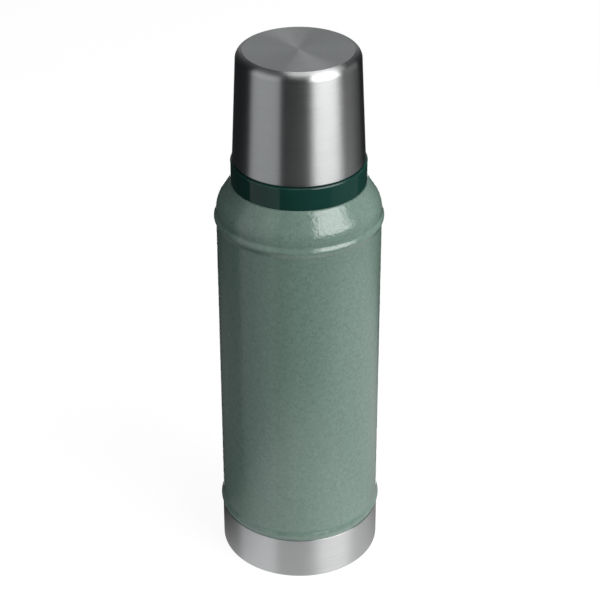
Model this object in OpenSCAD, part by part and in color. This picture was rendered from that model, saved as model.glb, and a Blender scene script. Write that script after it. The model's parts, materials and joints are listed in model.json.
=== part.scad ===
// Vacuum flask: a double-walled steel bottle with a screw stopper and a screw-on cup.
// Millimetres, +Z up, origin at the centre of the foot. Every turned piece is a revolved outline.

/* [Body] */
// Outer diameter of the body tube
body_d = 90; // [75:0.5:108]
// Overall height with the cup screwed down
total_h = 311; // [255:1:380]
// Sheet thickness of the outer shell
shell_wall = 0.6; // [0.5:0.05:0.75]
// Clear vacuum space between the two walls of the body
vacuum_gap = 7.5; // [5:0.1:9]
// Height of the bare steel base band
base_h = 26; // [21:0.5:32]
// How far the base band stands proud of the body tube
base_step = 0.3; // [0:0.05:0.6]
// Height of a rolled bead
bead_h = 7; // [5.5:0.1:8.5]
// How far a bead stands out of the tube
bead_out = 1.15; // [0.6:0.05:1.5]
// Height of the sloping shoulder between the upper bead and the collar
dome_h = 17.2; // [14:0.1:22]
// Radius of the bend at the bottom of the shoulder
dome_fillet = 17; // [8:0.5:24]

/* [Foot] */
// Width of the foot ring that the flask stands on
foot_w = 2.8; // [2.6:0.1:4]
// Depth of the recess inside the foot ring
recess_h = 5; // [4:0.1:6.5]
// Height of the cover disc above the ground
cover_z = 1.8; // [1.2:0.1:2.4]

/* [Inner bottle] */
// Diameter of the mouth
mouth_d = 48; // [40:0.5:57.6]
// Sheet thickness of the inner bottle
vessel_wall = 0.5; // [0.4:0.05:0.7]
// Clear space between the two walls of the neck
neck_gap = 2.1; // [1.4:0.1:2.6]
// How far the mouth stands above the collar's shelf
neck_rise = 13.2; // [12.4:0.1:16]
// How much narrower the throat is than the mouth, on the radius
throat_step = 3.2; // [2.8:0.1:4]
// Height of the inner bottle's floor above the ground
floor_z = 18.5; // [17:0.5:24]

/* [Collar] */
// Height of the coloured collar band
collar_h = 12.8; // [12:0.1:17]
// How far the collar stands out past the cup
collar_ledge = 1; // [0.5:0.1:1.6]
// Wall of the collar's sleeve
collar_wall = 2.2; // [1.6:0.1:2.8]
// Wall of the collar's skirt
skirt_wall = 2.2; // [1.6:0.1:2.8]
// Number of ribs inside the skirt
rib_count = 12; // [6:1:18]

/* [Cup] */
// Height of the cup
cup_h = 62; // [57:0.1:75]
// How much narrower the cup is at its top, on the radius
cup_draft = 2.83; // [1:0.05:3.4]
// Radius of the cup's top edge
cup_fillet = 3.6; // [3:0.1:6.5]
// Sheet thickness of the cup's shell
cup_wall = 0.6; // [0.4:0.05:0.8]
// Wall of the cup's liner
liner_wall = 1.7; // [1.3:0.1:2.2]
// Space for the insulation between shell and liner, at the rim
cup_gap = 2.3; // [1.9:0.1:3]

/* [Threads] */
// Depth of the cup thread
cup_thread_depth = 1.2; // [0.9:0.05:1.3]
// Lead of the cup's two-start thread
cup_lead = 8; // [7.6:0.1:9]
// Depth of the stopper thread
stopper_thread_depth = 1; // [0.8:0.05:1.1]
// Lead of the stopper's single-start thread
stopper_lead = 5; // [4.9:0.1:6]

/* [Stopper] */
// How much wider the stopper's knob is than the mouth, on the radius
knob_overhang = 1; // [-1:0.1:1.5]
// Height of the stopper's knob
knob_h = 12.6; // [9:0.1:12.8]
// Number of finger flutes around the knob
flute_count = 12; // [6:1:18]
// Width of the pour slot across the stopper's thread
pour_slot_w = 9; // [6:0.5:14]
// Wall of the stopper's plug
plug_wall = 2; // [1.5:0.1:2.6]

/* [Hidden] */
$fn = 96;

// Clearances
fit_gap = 0.05;      // sleeves that are pressed or welded together
slip_gap = 0.15;     // collar over the neck
thread_gap = 0.35;   // crest to root on both threads
body_gap = 0.35;     // round faces on pieces that move apart
seat_gap = 0.4;      // the cup's edge above the collar's shelf
pass_gap = 0.5;      // what has to pass through a throat or clear a mouth

// Radii, from the mouth outwards
body_r = body_d / 2;
mouth_r = mouth_d / 2;
throat_r = mouth_r - throat_step;
neck_r = mouth_r + vessel_wall + neck_gap + shell_wall;
collar_bore_r = neck_r + slip_gap;
collar_root_r = collar_bore_r + collar_wall;
collar_crest_r = collar_root_r + cup_thread_depth;
liner_root_r = collar_crest_r + thread_gap;
liner_crest_r = liner_root_r - cup_thread_depth;
liner_out_r = liner_root_r + liner_wall;
cup_r = liner_out_r + cup_gap + cup_wall;
knob_r = mouth_r + knob_overhang;
collar_r = cup_r + collar_ledge;
deck_ledge = 0.6;
deck_r = collar_r + deck_ledge;
spigot_r = body_r - shell_wall - fit_gap;
base_r = body_r + base_step;
recess_r = base_r - foot_w;
vessel_r = body_r - shell_wall - vacuum_gap - vessel_wall;
evacuation_r = 1.5;
dimple_r = 8;

// Heights, from the top down
cup_z = total_h - cup_h;
shelf_z = cup_z - seat_gap;
deck_z = shelf_z - collar_h;
lip_z = shelf_z + neck_rise;
lip_t = 0.6;
dome_z = deck_z - dome_h;
bead_top_z = dome_z - bead_h;
spigot_h = bead_h + 0.4;
seat_z = deck_z + 2.3;
seat_top_z = seat_z + throat_step;
vessel_dome_z = dome_z - 12;
throat_z = deck_z - 5;
vessel_end_z = floor_z - 6;

// Neck bead that the collar snaps over
neck_bead_z = deck_z + 5;
neck_bead_h = 4;
neck_bead_out = 0.5;

// Cup thread, two starts, between collar and liner
cup_starts = 2;
cup_tooth_root = 2.2;
cup_tooth_crest = 1.3;
collar_thread_z = shelf_z + 3;
collar_thread_h = neck_rise - 6;
rim_z = cup_z + cup_wall + fit_gap;
rim_flange_t = 1.4;
rim_gap = 0.1;
liner_thread_z = rim_z + rim_flange_t + cup_tooth_root / 2;
liner_thread_h = collar_thread_h - 0.8;

// Stopper thread, one start, between plug and neck
stopper_tooth_root = 2.8;
stopper_tooth_crest = 1.8;
plug_r = mouth_r - stopper_thread_depth - thread_gap + 0.05;
land_r = mouth_r - 0.4;
neck_thread_h = neck_rise - 3.2 - stopper_tooth_root;
neck_thread_z = lip_z - 5 - stopper_tooth_root / 2 - neck_thread_h;

// Stopper heights
top_seal_t = 1.2;
flange_z = lip_z + 0.3 + top_seal_t;
flange_t = 2;
flange_r = neck_r - 0.2;
knob_z = flange_z + flange_t + fit_gap;
plug_end_z = seat_top_z + 0.1;
stopper_end_z = seat_z - 1;
cap_flange_z = seat_z + 1.4;
cap_r = throat_r - pass_gap;
core_r = plug_r - plug_wall;
seal_r = plug_r - 0.1;
spigot_ring_r = core_r + 0.3;
spigot_ring_h = 3;

// Cup insulation space over the liner
ceiling_gap = 2.6;
ceiling_z = total_h - cup_wall - ceiling_gap - liner_wall;
liner_fillet = 5;

// Colours
paint_green = [0.42, 0.51, 0.46];
collar_green = [0.08, 0.21, 0.18];
steel = [0.72, 0.73, 0.74];
inner_steel = [0.66, 0.67, 0.68];
foil = [0.86, 0.86, 0.87];
silicone = [0.78, 0.8, 0.78];
foam = [0.93, 0.92, 0.88];
getter_grey = [0.35, 0.35, 0.37];

// ---- Outlines ----

function unit(v) = v / norm(v);
function right_of(a, b) = let (d = unit(b - a)) [d[1], -d[0]];

// One corner of an outline turned into an arc that touches both of its sides
function corner_arc(a, b, c, r) =
    let (u = unit(a - b), v = unit(c - b), half = acos(u * v) / 2,
        centre = b + unit(u + v) * r / sin(half),
        from = unit(b + u * r / tan(half) - centre), to = unit(b + v * r / tan(half) - centre),
        steps = max(2, ceil((180 - 2 * half) / 8)), sweep = 180 - 2 * half)
    [for (i = [0:steps]) let (t = i / steps)
        centre + r * (sin(sweep * (1 - t)) * from + sin(sweep * t) * to) / sin(sweep)];

// Points given as [radius, height, corner radius] become a plain outline
function flat(p) = [p[0], p[1]];
function rounded(p) = let (n = len(p)) [for (i = [0:n - 1])
    each (p[i][2] == undef || p[i][2] == 0) ? [flat(p[i])]
        : corner_arc(flat(p[(i + n - 1) % n]), flat(p[i]), flat(p[(i + 1) % n]), p[i][2])];

// The outline moved to its right by t, with mitred corners
function beside(p, t) = [for (i = [0:len(p) - 1])
    let (a = i > 0 ? right_of(p[i - 1], p[i]) : right_of(p[0], p[1]),
        b = i < len(p) - 1 ? right_of(p[i], p[i + 1]) : a, m = a + b)
    p[i] + t * 2 * m / (m * m)];

function reversed(p) = [for (i = [len(p) - 1:-1:0]) p[i]];

// A rolled bead on a tube of radius r: a raised cosine, from the top down
function bead(r, z, h, out, steps = 14) =
    [for (i = [0:steps]) [r + out * (1 - cos(360 * i / steps)) / 2, z + h * (1 - i / steps)]];

// A smooth S between two upright walls
function s_curve(a, b, pull_a, pull_b, steps = 16) = [for (i = [0:steps])
    let (t = i / steps, s = 1 - t)
    s * s * s * a + 3 * s * s * t * (a + [0, pull_a]) + 3 * s * t * t * (b - [0, pull_b]) + t * t * t * b];

// Sheet metal or moulded wall: an outline and its copy t to the right, revolved
module wall(path, t) {
    rotate_extrude() polygon(concat(path, reversed(beside(path, t))));
}

module turned(points) {
    rotate_extrude() polygon(points);
}

// A helical tooth on a wall of radius root_r, standing out (or in, where crest_r is the smaller)
module tooth(root_r, crest_r, root_w, crest_w, lead, z, h, start_angle) {
    sunk = 0.25;
    dir = sign(crest_r - root_r);
    turn = 360 * h / lead;
    steps = ceil(turn / 8);
    fade = 24;
    function lift(a) = max(0.06, min(1, a / fade, (turn - a) / fade));
    points = [for (i = [0:steps])
        let (a = turn * i / steps, k = lift(a), top = root_r + (crest_r - root_r) * k,
            half_root = root_w / 2, half_top = half_root + (crest_w - root_w) / 2 * k,
            mid = z + h * i / steps,
            half_low = half_root + (root_w - crest_w) / 2 * sunk / abs(crest_r - root_r),
            low = root_r - dir * sunk)
        each [for (q = [[low, mid - half_low], [top, mid - half_top],
            [top, mid + half_top], [low, mid + half_low]])
            [q[0] * cos(a + start_angle), q[0] * sin(a + start_angle), q[1]]]];
    sides = [for (i = [0:steps - 1]) for (j = [0:3])
        let (k = (j + 1) % 4, b = 4 * i)
        each [[b + j, b + 4 + k, b + k], [b + j, b + 4 + j, b + 4 + k]]];
    last = 4 * steps;
    ends = [[0, 1, 2], [0, 2, 3], [last, last + 2, last + 1], [last, last + 3, last + 2]];
    faces = concat(sides, ends);
    polyhedron(points, dir < 0 ? faces : [for (f = faces) reversed(f)]);
}

module cup_teeth(root_r, crest_r, z, h, phase) {
    for (s = [0:cup_starts - 1])
        tooth(root_r, crest_r, cup_tooth_root, cup_tooth_crest, cup_lead, z, h, phase + 360 * s / cup_starts);
}

// ---- Outer shell ----

dome_r = min(dome_fillet, dome_h - 0.3);
dome_turn = let (dx = deck_r - (body_r - dome_r)) atan2(dome_h, dx) - acos(dome_r / norm([dx, dome_h]));

module shoulder() {
    path = concat(
        [[neck_r, lip_z - lip_t]],
        bead(neck_r, neck_bead_z, neck_bead_h, neck_bead_out),
        rounded([[neck_r, neck_bead_z - 1], [neck_r, deck_z, 1], [deck_r, deck_z, 1],
            [body_r, dome_z + dome_r * tan(dome_turn / 2), dome_r], [body_r, dome_z - 0.01]]),
        [for (p = bead(body_r, bead_top_z, bead_h, bead_out)) if (p[1] < dome_z - 0.02) p]);
    color(paint_green) wall(path, shell_wall);
}

module body_tube() {
    path = concat(
        [[spigot_r, bead_top_z + spigot_h], [spigot_r, bead_top_z], [body_r, bead_top_z]],
        bead(body_r, base_h, bead_h, bead_out));
    color(paint_green) wall(path, shell_wall);
}

module base_cup() {
    bend = 1.2;
    path = rounded([[spigot_r, base_h + spigot_h], [spigot_r, base_h], [base_r, base_h],
        [base_r, 0, bend], [recess_r, 0, bend], [recess_r, recess_h, bend],
        [dimple_r, recess_h, 0.8], [dimple_r - 2, recess_h + 1.5, 0.8], [evacuation_r, recess_h + 1.5]]);
    color(steel) wall(path, shell_wall);
}

module base_cover() {
    cover_r = recess_r - fit_gap;
    ring_r = cover_r * 0.72;
    path = rounded([[cover_r, recess_h - 1.4], [cover_r, cover_z, 1.2], [ring_r + 1.2, cover_z, 0.8],
        [ring_r, cover_z + 0.7, 0.8], [0, cover_z + 0.7]]);
    color(steel) wall(path, 0.6);
}

// Glassy bead that closes the evacuation hole
module evacuation_seal() {
    bead_r = 3.4;
    seat = recess_h + 1.5 - fit_gap;
    color(getter_grey) turned(concat(
        [[0, seat + shell_wall], [evacuation_r - 0.1, seat + shell_wall], [evacuation_r - 0.1, seat]],
        [for (a = [0:10:90]) [bead_r * cos(a), seat - 1.3 * sin(a)]]));
}

// ---- Inner bottle and what is in the vacuum ----

module inner_body() {
    color(inner_steel) wall([[vessel_r, vessel_end_z], [vessel_r, vessel_dome_z]], vessel_wall);
}

module inner_shoulder() {
    rise = throat_z - vessel_dome_z;
    straight = 0.5;
    bend = s_curve([vessel_r, vessel_dome_z + straight], [throat_r, throat_z - straight],
        0.8 * rise, 0.3 * rise);
    path = concat([[vessel_r, vessel_dome_z]], bend, [[throat_r, throat_z]]);
    color(inner_steel) wall(path, vessel_wall);
}

module inner_neck() {
    path = rounded([[throat_r, throat_z], [throat_r, seat_z, 0.6], [mouth_r, seat_top_z, 0.6],
        [mouth_r, lip_z - lip_t]]);
    color(inner_steel) union() {
        wall(path, vessel_wall);
        turned(rounded([[mouth_r, lip_z - lip_t], [neck_r, lip_z - lip_t], [neck_r, lip_z, 0.25],
            [mouth_r, lip_z, 0.25]]));
        tooth(mouth_r, mouth_r - stopper_thread_depth, stopper_tooth_root, stopper_tooth_crest, stopper_lead,
            neck_thread_z, neck_thread_h, 0);
    }
}

module inner_base() {
    skirt_r = vessel_r - fit_gap;
    path = rounded([[0, floor_z], [skirt_r, floor_z, 3], [skirt_r, vessel_end_z]]);
    color(inner_steel) wall(path, vessel_wall);
}

foil_t = 0.2;
foil_r = vessel_r + vessel_wall + 0.1;

module heat_reflector() {
    color(foil) difference() {
        translate([0, 0, vessel_end_z + 0.5])
            cylinder(r = foil_r + foil_t, h = vessel_dome_z - vessel_end_z - 1);
        translate([0, 0, vessel_end_z]) cylinder(r = foil_r, h = vessel_dome_z - vessel_end_z);
    }
}

foil_disc_top = floor_z - vessel_wall - fit_gap;

module reflector_disc() {
    color(foil) translate([0, 0, foil_disc_top - foil_t]) cylinder(r = vessel_r - 4, h = foil_t);
}

holder_top = foil_disc_top - foil_t;
holder_h = 2.6;
holder_r = 7;

// Dish spot-welded under the inner bottle's floor
module getter_holder() {
    dish = rounded([[holder_r + 3, holder_top], [holder_r, holder_top, 0.6],
        [holder_r, holder_top - holder_h, 0.8], [holder_r - 2.5, holder_top - holder_h]]);
    color(steel) turned(concat(dish, reversed(beside(dish, -0.4))));
}

module getter() {
    lip = holder_top - holder_h + 0.4 + fit_gap;
    color(getter_grey) translate([0, 0, lip]) cylinder(r = holder_r - 1, h = holder_top - lip - 0.2);
}

// ---- Collar ----

module neck_collar() {
    sleeve_top = lip_z - lip_t - 0.2;
    sleeve_foot = deck_z + 1.6;
    boss_r = collar_root_r + 0.6;
    pocket_top = shelf_z - 2.2;
    groove = reversed(bead(collar_bore_r, neck_bead_z - 0.2, neck_bead_h + 0.4, neck_bead_out));
    outline = concat(
        [[collar_r, deck_z, 0.3], [collar_r, shelf_z, 0.9], [collar_root_r, shelf_z, 0.5],
            [collar_root_r, sleeve_top, 0.5], [collar_bore_r, sleeve_top, 0.4],
            [collar_bore_r, sleeve_top - 1]],
        reversed(groove),
        [[collar_bore_r, sleeve_foot], [boss_r, sleeve_foot], [boss_r, pocket_top, 0.8],
            [collar_r - skirt_wall, pocket_top, 0.8], [collar_r - skirt_wall, deck_z]]);
    color(collar_green) union() {
        turned(rounded(outline));
        for (i = [0:rib_count - 1])
            rotate(360 * i / rib_count) translate([boss_r - 0.3, -0.6, deck_z + 3])
                cube([collar_r - skirt_wall - boss_r + 0.6, 1.2, pocket_top - deck_z - 2.8]);
        cup_teeth(collar_root_r, collar_crest_r, collar_thread_z, collar_thread_h, 0);
    }
}

module collar_seal() {
    color(silicone) difference() {
        translate([0, 0, deck_z + 0.05]) cylinder(r = collar_root_r + 0.4, h = 1.5);
        translate([0, 0, deck_z]) cylinder(r = neck_r + 1.1, h = 1.6);
    }
}

// ---- Stopper ----

module stopper_knob() {
    flute_r = 2.4;
    dish_r = knob_r - 4;
    color(collar_green) difference() {
        turned(rounded([[0, knob_z], [knob_r - 0.8, knob_z], [knob_r, knob_z + 0.8],
            [knob_r, knob_z + knob_h, 1.8], [dish_r, knob_z + knob_h, 1],
            [dish_r - 1, knob_z + knob_h - 1.2, 1], [0, knob_z + knob_h - 1.2]]));
        translate([0, 0, knob_z - 1]) cylinder(r = spigot_ring_r + fit_gap, h = spigot_ring_h + 1.5);
        for (i = [0:flute_count - 1])
            rotate(360 * i / flute_count) translate([knob_r + 1.2, 0, knob_z - 1])
                cylinder(r = flute_r, h = knob_h + 2);
    }
}

module stopper_body() {
    slot_floor_r = plug_r - 0.9;
    top_z = flange_z + flange_t;
    color(collar_green) difference() {
        union() {
            turned(rounded([[0, top_z], [flange_r, top_z, 0.5], [flange_r, flange_z, 0.5],
                [land_r, flange_z], [land_r, flange_z - 4.2], [plug_r, flange_z - 5], [plug_r, plug_end_z],
                [core_r, plug_end_z], [core_r, flange_z], [0, flange_z]]));
            turned([[spigot_ring_r - 2, top_z - 0.1], [spigot_ring_r, top_z - 0.1],
                [spigot_ring_r, top_z + spigot_ring_h], [spigot_ring_r - 2, top_z + spigot_ring_h]]);
            tooth(plug_r, plug_r + stopper_thread_depth, stopper_tooth_root, stopper_tooth_crest,
                stopper_lead, neck_thread_z, neck_thread_h, 180);
        }
        for (side = [0, 180])
            rotate(side) translate([slot_floor_r, -pour_slot_w / 2, plug_end_z + 2])
                cube([mouth_r, pour_slot_w, flange_z - plug_end_z - 2.4]);
    }
}

module stopper_core() {
    color(foam) translate([0, 0, cap_flange_z + 4])
        cylinder(r = core_r - body_gap, h = flange_z - cap_flange_z - 4 - body_gap);
}

module stopper_base() {
    plug_in = core_r - fit_gap;
    flange = seal_r - 1;
    color(collar_green) turned(rounded([[0, stopper_end_z], [cap_r, stopper_end_z, 0.8],
        [cap_r, cap_flange_z - (flange - cap_r)], [flange, cap_flange_z], [plug_in, cap_flange_z],
        [plug_in, cap_flange_z + 3.6], [plug_in - 1.6, cap_flange_z + 3.6], [plug_in - 1.6, cap_flange_z],
        [0, cap_flange_z]]));
}

module stopper_seal() {
    low = cap_flange_z + fit_gap;
    cone_r = throat_r + low - seat_z - 0.45;
    color(silicone) turned([[core_r, low], [cone_r, low], [seal_r, low + seal_r - cone_r],
        [seal_r, plug_end_z - fit_gap], [core_r, plug_end_z - fit_gap]]);
}

module stopper_top_seal() {
    color(silicone) difference() {
        translate([0, 0, lip_z + 0.3]) cylinder(r = flange_r - 0.4, h = top_seal_t - fit_gap);
        translate([0, 0, lip_z]) cylinder(r = land_r + fit_gap, h = top_seal_t + 1);
    }
}

// ---- Cup ----

cup_top_r = cup_r - cup_draft;
function cup_side_r(z) = cup_r - cup_draft * (z - cup_z) / cup_h;
liner_neck_z = lip_z + 0.6;
liner_top_r = cup_side_r(ceiling_z) - cup_wall - cup_gap - liner_wall - 0.2;

module cup_shell() {
    path = rounded([[0, total_h], [cup_top_r, total_h, cup_fillet], [cup_r, cup_z, cup_wall + 0.1],
        [cup_r - 1.3, cup_z]]);
    color(steel) wall(path, cup_wall);
}

groove_r = liner_root_r + 0.9;
groove_w = 1.8;
groove_h = 0.6;

module cup_liner() {
    flange_r = cup_side_r(rim_z + rim_flange_t) - cup_wall - rim_gap;
    path = rounded([[liner_root_r, rim_z + groove_h + 0.1], [liner_root_r, liner_neck_z, 6],
        [liner_top_r, ceiling_z, liner_fillet], [0, ceiling_z]]);
    color(collar_green) union() {
        wall(path, liner_wall);
        difference() {
            turned(rounded([[liner_root_r, rim_z, 0.3], [flange_r, rim_z, 0.3],
                [flange_r, rim_z + rim_flange_t, 0.3], [liner_root_r + 0.5, rim_z + rim_flange_t],
                [liner_root_r, rim_z + 1]]));
            turned([[groove_r, rim_z - 1], [groove_r + groove_w, rim_z - 1],
                [groove_r + groove_w, rim_z + groove_h], [groove_r, rim_z + groove_h]]);
        }
        cup_teeth(liner_root_r, liner_crest_r, liner_thread_z, liner_thread_h,
            360 * (liner_thread_z - collar_thread_z) / cup_lead + 360 / cup_starts / 2);
    }
}

module cup_gasket() {
    color(silicone) difference() {
        translate([0, 0, cup_z + fit_gap])
            cylinder(r = groove_r + groove_w - fit_gap, h = cup_wall + groove_h - fit_gap);
        translate([0, 0, cup_z - 1]) cylinder(r = groove_r + fit_gap, h = 4);
    }
}

module cup_insulation() {
    foot = rim_z + rim_flange_t + body_gap;
    skin = cup_wall + body_gap;
    outer = rounded([[cup_side_r(foot) - skin, foot], [cup_top_r - skin, total_h - skin, cup_fillet - skin],
        [0, total_h - skin]]);
    core = liner_wall + body_gap;
    inner = rounded([[0, ceiling_z + core], [liner_top_r + core, ceiling_z + core, liner_fillet + core],
        [liner_out_r + body_gap, liner_neck_z + core, 6 + core], [liner_out_r + body_gap, foot]]);
    color(foam) turned(concat(outer, inner));
}

shoulder();
body_tube();
base_cup();
base_cover();
evacuation_seal();
inner_neck();
inner_shoulder();
inner_body();
inner_base();
heat_reflector();
reflector_disc();
getter_holder();
getter();
neck_collar();
collar_seal();
stopper_knob();
stopper_body();
stopper_core();
stopper_base();
stopper_seal();
stopper_top_seal();
cup_shell();
cup_liner();
cup_insulation();
cup_gasket();
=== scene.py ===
import json
import math
import bpy
import numpy as np
from mathutils import Matrix, Vector


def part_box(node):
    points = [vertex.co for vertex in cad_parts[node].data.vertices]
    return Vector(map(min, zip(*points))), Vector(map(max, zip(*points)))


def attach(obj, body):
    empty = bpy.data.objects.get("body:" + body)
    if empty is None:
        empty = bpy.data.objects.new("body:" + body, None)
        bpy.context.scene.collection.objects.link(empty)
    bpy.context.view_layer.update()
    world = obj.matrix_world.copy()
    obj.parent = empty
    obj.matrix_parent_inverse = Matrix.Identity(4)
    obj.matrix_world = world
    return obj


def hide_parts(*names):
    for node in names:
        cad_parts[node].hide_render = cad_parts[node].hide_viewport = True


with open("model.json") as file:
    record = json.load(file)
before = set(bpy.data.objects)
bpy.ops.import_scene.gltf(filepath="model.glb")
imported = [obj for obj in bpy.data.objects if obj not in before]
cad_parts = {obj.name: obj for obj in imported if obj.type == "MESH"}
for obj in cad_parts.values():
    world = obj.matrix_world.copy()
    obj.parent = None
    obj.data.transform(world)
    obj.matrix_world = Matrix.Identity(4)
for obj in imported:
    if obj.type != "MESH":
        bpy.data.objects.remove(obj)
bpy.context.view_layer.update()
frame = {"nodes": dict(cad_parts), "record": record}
print("frame loaded:", len(frame["nodes"]), "nodes")

mm = 0.001
fullTurn = 2 * math.pi
fit = 0.05  # millimetres between pieces that are pressed or welded together
onWall = 0.01  # a ring this close to a wall's radius belongs to it
arcStep = math.radians(11)


def cornerArc(before, corner, after, radius):
    # a round corner between two straight stretches
    a, b, c = np.array(before), np.array(corner), np.array(after)
    u, v = (a - b) / np.linalg.norm(a - b), (c - b) / np.linalg.norm(c - b)
    half = math.acos(float(np.clip(u @ v, -1, 1))) / 2
    sweep = math.pi - 2 * half
    if sweep < 0.02:  # nearly straight
        return [tuple(b)]
    centre = b + (u + v) / np.linalg.norm(u + v) * radius / math.sin(half)
    start, end = b + u * radius / math.tan(half) - centre, b + v * radius / math.tan(half) - centre
    steps = max(3, math.ceil(sweep / arcStep))
    points = []
    for i in range(steps + 1):
        t = i / steps
        spoke = (math.sin(sweep * (1 - t)) * start + math.sin(sweep * t) * end) / math.sin(sweep)
        points.append(tuple(centre + spoke))
    return points


def softPath(points):
    # (radius, height) or (radius, height, corner radius), closed
    path = []
    for i, p in enumerate(points):
        if len(p) > 2 and p[2] > 0:
            path += cornerArc(points[i - 1][:2], p[:2], points[(i + 1) % len(points)][:2], p[2])
        else:
            path.append(p[:2])
    return path


def spaced(path, longest=6.0, hold=0.12):
    # extra rings on long stretches, and one close to each end so that flats shade flat
    out = []
    for i, a in enumerate(path):
        b = path[(i + 1) % len(path)]
        a, b = np.array(a, float), np.array(b, float)
        length = np.linalg.norm(b - a)
        out.append(tuple(a))
        if length > 4 * hold:
            count = max(1, math.ceil((length - 2 * hold) / longest))
            for k in range(count + 1):
                out.append(tuple(a + (b - a) * (hold + (length - 2 * hold) * k / count) / length))
    return out


def beadPath(radius, low, high, out, steps=16):
    # a rolled bead, from the top down
    return [(radius + out * (1 - math.cos(fullTurn * i / steps)) / 2, high + (low - high) * i / steps)
            for i in range(steps + 1)]


def wallPath(outside, thickness):
    # a sheet: the outline and its copy, thickness to the inside
    p = np.array(outside, float)
    d = np.gradient(p, axis=0)
    d[0], d[-1] = p[1] - p[0], p[-1] - p[-2]
    for i in range(1, len(p) - 1):
        a, b = p[i] - p[i - 1], p[i + 1] - p[i]
        d[i] = a / np.linalg.norm(a) + b / np.linalg.norm(b)
    d /= np.linalg.norm(d, axis=1)[:, None]
    side = np.stack([d[:, 1], -d[:, 0]], axis=1)
    stretch = np.ones(len(p))
    for i in range(1, len(p) - 1):
        a = p[i] - p[i - 1]
        stretch[i] = 1 / max(0.5, float(d[i] @ a / np.linalg.norm(a)))  # at most twice, at a sharp corner
    inside = p + side * (thickness * stretch)[:, None]
    return [tuple(q) for q in p] + [tuple(q) for q in inside[::-1]]


def turnedMesh(name, path, around=192, shape=None):
    # path in millimetres, closed; shape(angle, radius, height) may move the radius
    angle = np.arange(around) * fullTurn / around
    verts, rings = [], []
    for r, z in path:
        if r < 1e-6:
            rings.append([len(verts)])
            verts.append((0, 0, z * mm))
            continue
        radius = np.full(around, float(r)) if shape is None else shape(angle, np.full(around, float(r)), z)
        rings.append(list(range(len(verts), len(verts) + around)))
        verts += list(zip(radius * np.cos(angle) * mm, radius * np.sin(angle) * mm, [z * mm] * around))
    faces = []
    for i, here in enumerate(rings):
        there = rings[(i + 1) % len(rings)]
        if len(here) == 1 and len(there) == 1:
            continue
        for k in range(around):
            n = (k + 1) % around
            if len(here) == 1:
                faces.append((here[0], there[n], there[k]))
            elif len(there) == 1:
                faces.append((here[k], here[n], there[0]))
            else:
                faces.append((here[k], here[n], there[n], there[k]))
    mesh = bpy.data.meshes.new(name)
    mesh.from_pydata(verts, [], faces)
    mesh.update()
    return mesh


def turned(name, path, body, node, slot, around=192, shape=None, sharp=38):
    mesh = turnedMesh(name, path, around, shape)
    area = sum((path[i][0] * path[(i + 1) % len(path)][1] - path[(i + 1) % len(path)][0] * path[i][1])
               for i in range(len(path)))
    if area > 0:
        mesh.flip_normals()
    mesh.polygons.foreach_set("use_smooth", [True] * len(mesh.polygons))
    mesh.set_sharp_from_angle(angle=math.radians(sharp))
    mesh.materials.append(finish[slot])
    piece = bpy.data.objects.new(name, mesh)
    bpy.context.scene.collection.objects.link(piece)
    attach(piece, body)
    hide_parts(node)
    return piece


def ladder(radius, start, end, step=0.25):
    # closely spaced rings up or down an upright wall, for threads and slots
    count = max(2, math.ceil(abs(end - start) / step))
    return [(radius, start + (end - start) * i / count) for i in range(count + 1)]


def screwThread(thread, angle, z):
    # how far a right-handed thread stands out at these angles and this height, 0 to 1
    pitch = thread["lead"] / thread["starts"]
    phase = (z - thread["low"]) - (angle / fullTurn - thread["start"] / 360) * thread["lead"]
    off = (phase + pitch / 2) % pitch - pitch / 2
    ridge = np.clip((thread["foot"] / 2 - np.abs(off)) / ((thread["foot"] - thread["tip"]) / 2), 0, 1)
    ridge = ridge * ridge * (3 - 2 * ridge)
    # each start rises out of the wall and sinks back into it
    along, fade = z - off, thread["lead"] / 15
    return (ridge * np.clip((along - thread["low"]) / fade, 0, 1)
            * np.clip((thread["high"] - along) / fade, 0, 1))


def threaded(thread, wall, side):
    # a shape for turned(): side is 1 for a thread that stands out, -1 for one that stands in
    def shape(angle, radius, z):
        if abs(radius[0] - wall) > onWall:
            return radius
        return radius + side * thread["depth"] * screwThread(thread, angle, z)
    return shape


def newMaterial(name):
    material = bpy.data.materials.new(name)
    material.use_nodes = True
    tree = material.node_tree
    return material, tree, tree.nodes["Principled BSDF"]


def add(tree, kind, **settings):
    node = tree.nodes.new(kind)
    for key, value in settings.items():
        setattr(node, key, value)
    return node


def noise(tree, vector, scale, detail=2.0, roughness=0.5, distortion=0.0):
    node = add(tree, "ShaderNodeTexNoise")
    node.inputs["Scale"].default_value = scale
    node.inputs["Detail"].default_value = detail
    node.inputs["Roughness"].default_value = roughness
    node.inputs["Distortion"].default_value = distortion
    tree.links.new(vector, node.inputs["Vector"])
    return node.outputs["Fac"]


def spread(tree, value, low, high, fromLow=0.0, fromHigh=1.0):
    node = add(tree, "ShaderNodeMapRange")
    node.inputs["From Min"].default_value = fromLow
    node.inputs["From Max"].default_value = fromHigh
    node.inputs["To Min"].default_value = low
    node.inputs["To Max"].default_value = high
    tree.links.new(value, node.inputs["Value"])
    return node.outputs["Result"]


def colours(tree, value, stops):
    node = add(tree, "ShaderNodeValToRGB")
    ramp = node.color_ramp
    while len(ramp.elements) < len(stops):
        ramp.elements.new(0.5)
    for element, (place, colour) in zip(ramp.elements, stops):
        element.position = place
        element.color = (*colour, 1)
    tree.links.new(value, node.inputs["Fac"])
    return node.outputs["Color"]


def relief(tree, shader, height, depth, strength=1.0):
    node = add(tree, "ShaderNodeBump")
    node.inputs["Strength"].default_value = strength
    node.inputs["Distance"].default_value = depth
    tree.links.new(height, node.inputs["Height"])
    tree.links.new(node.outputs["Normal"], shader.inputs["Normal"])


def place(tree):
    return add(tree, "ShaderNodeTexCoord").outputs["Object"]


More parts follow.
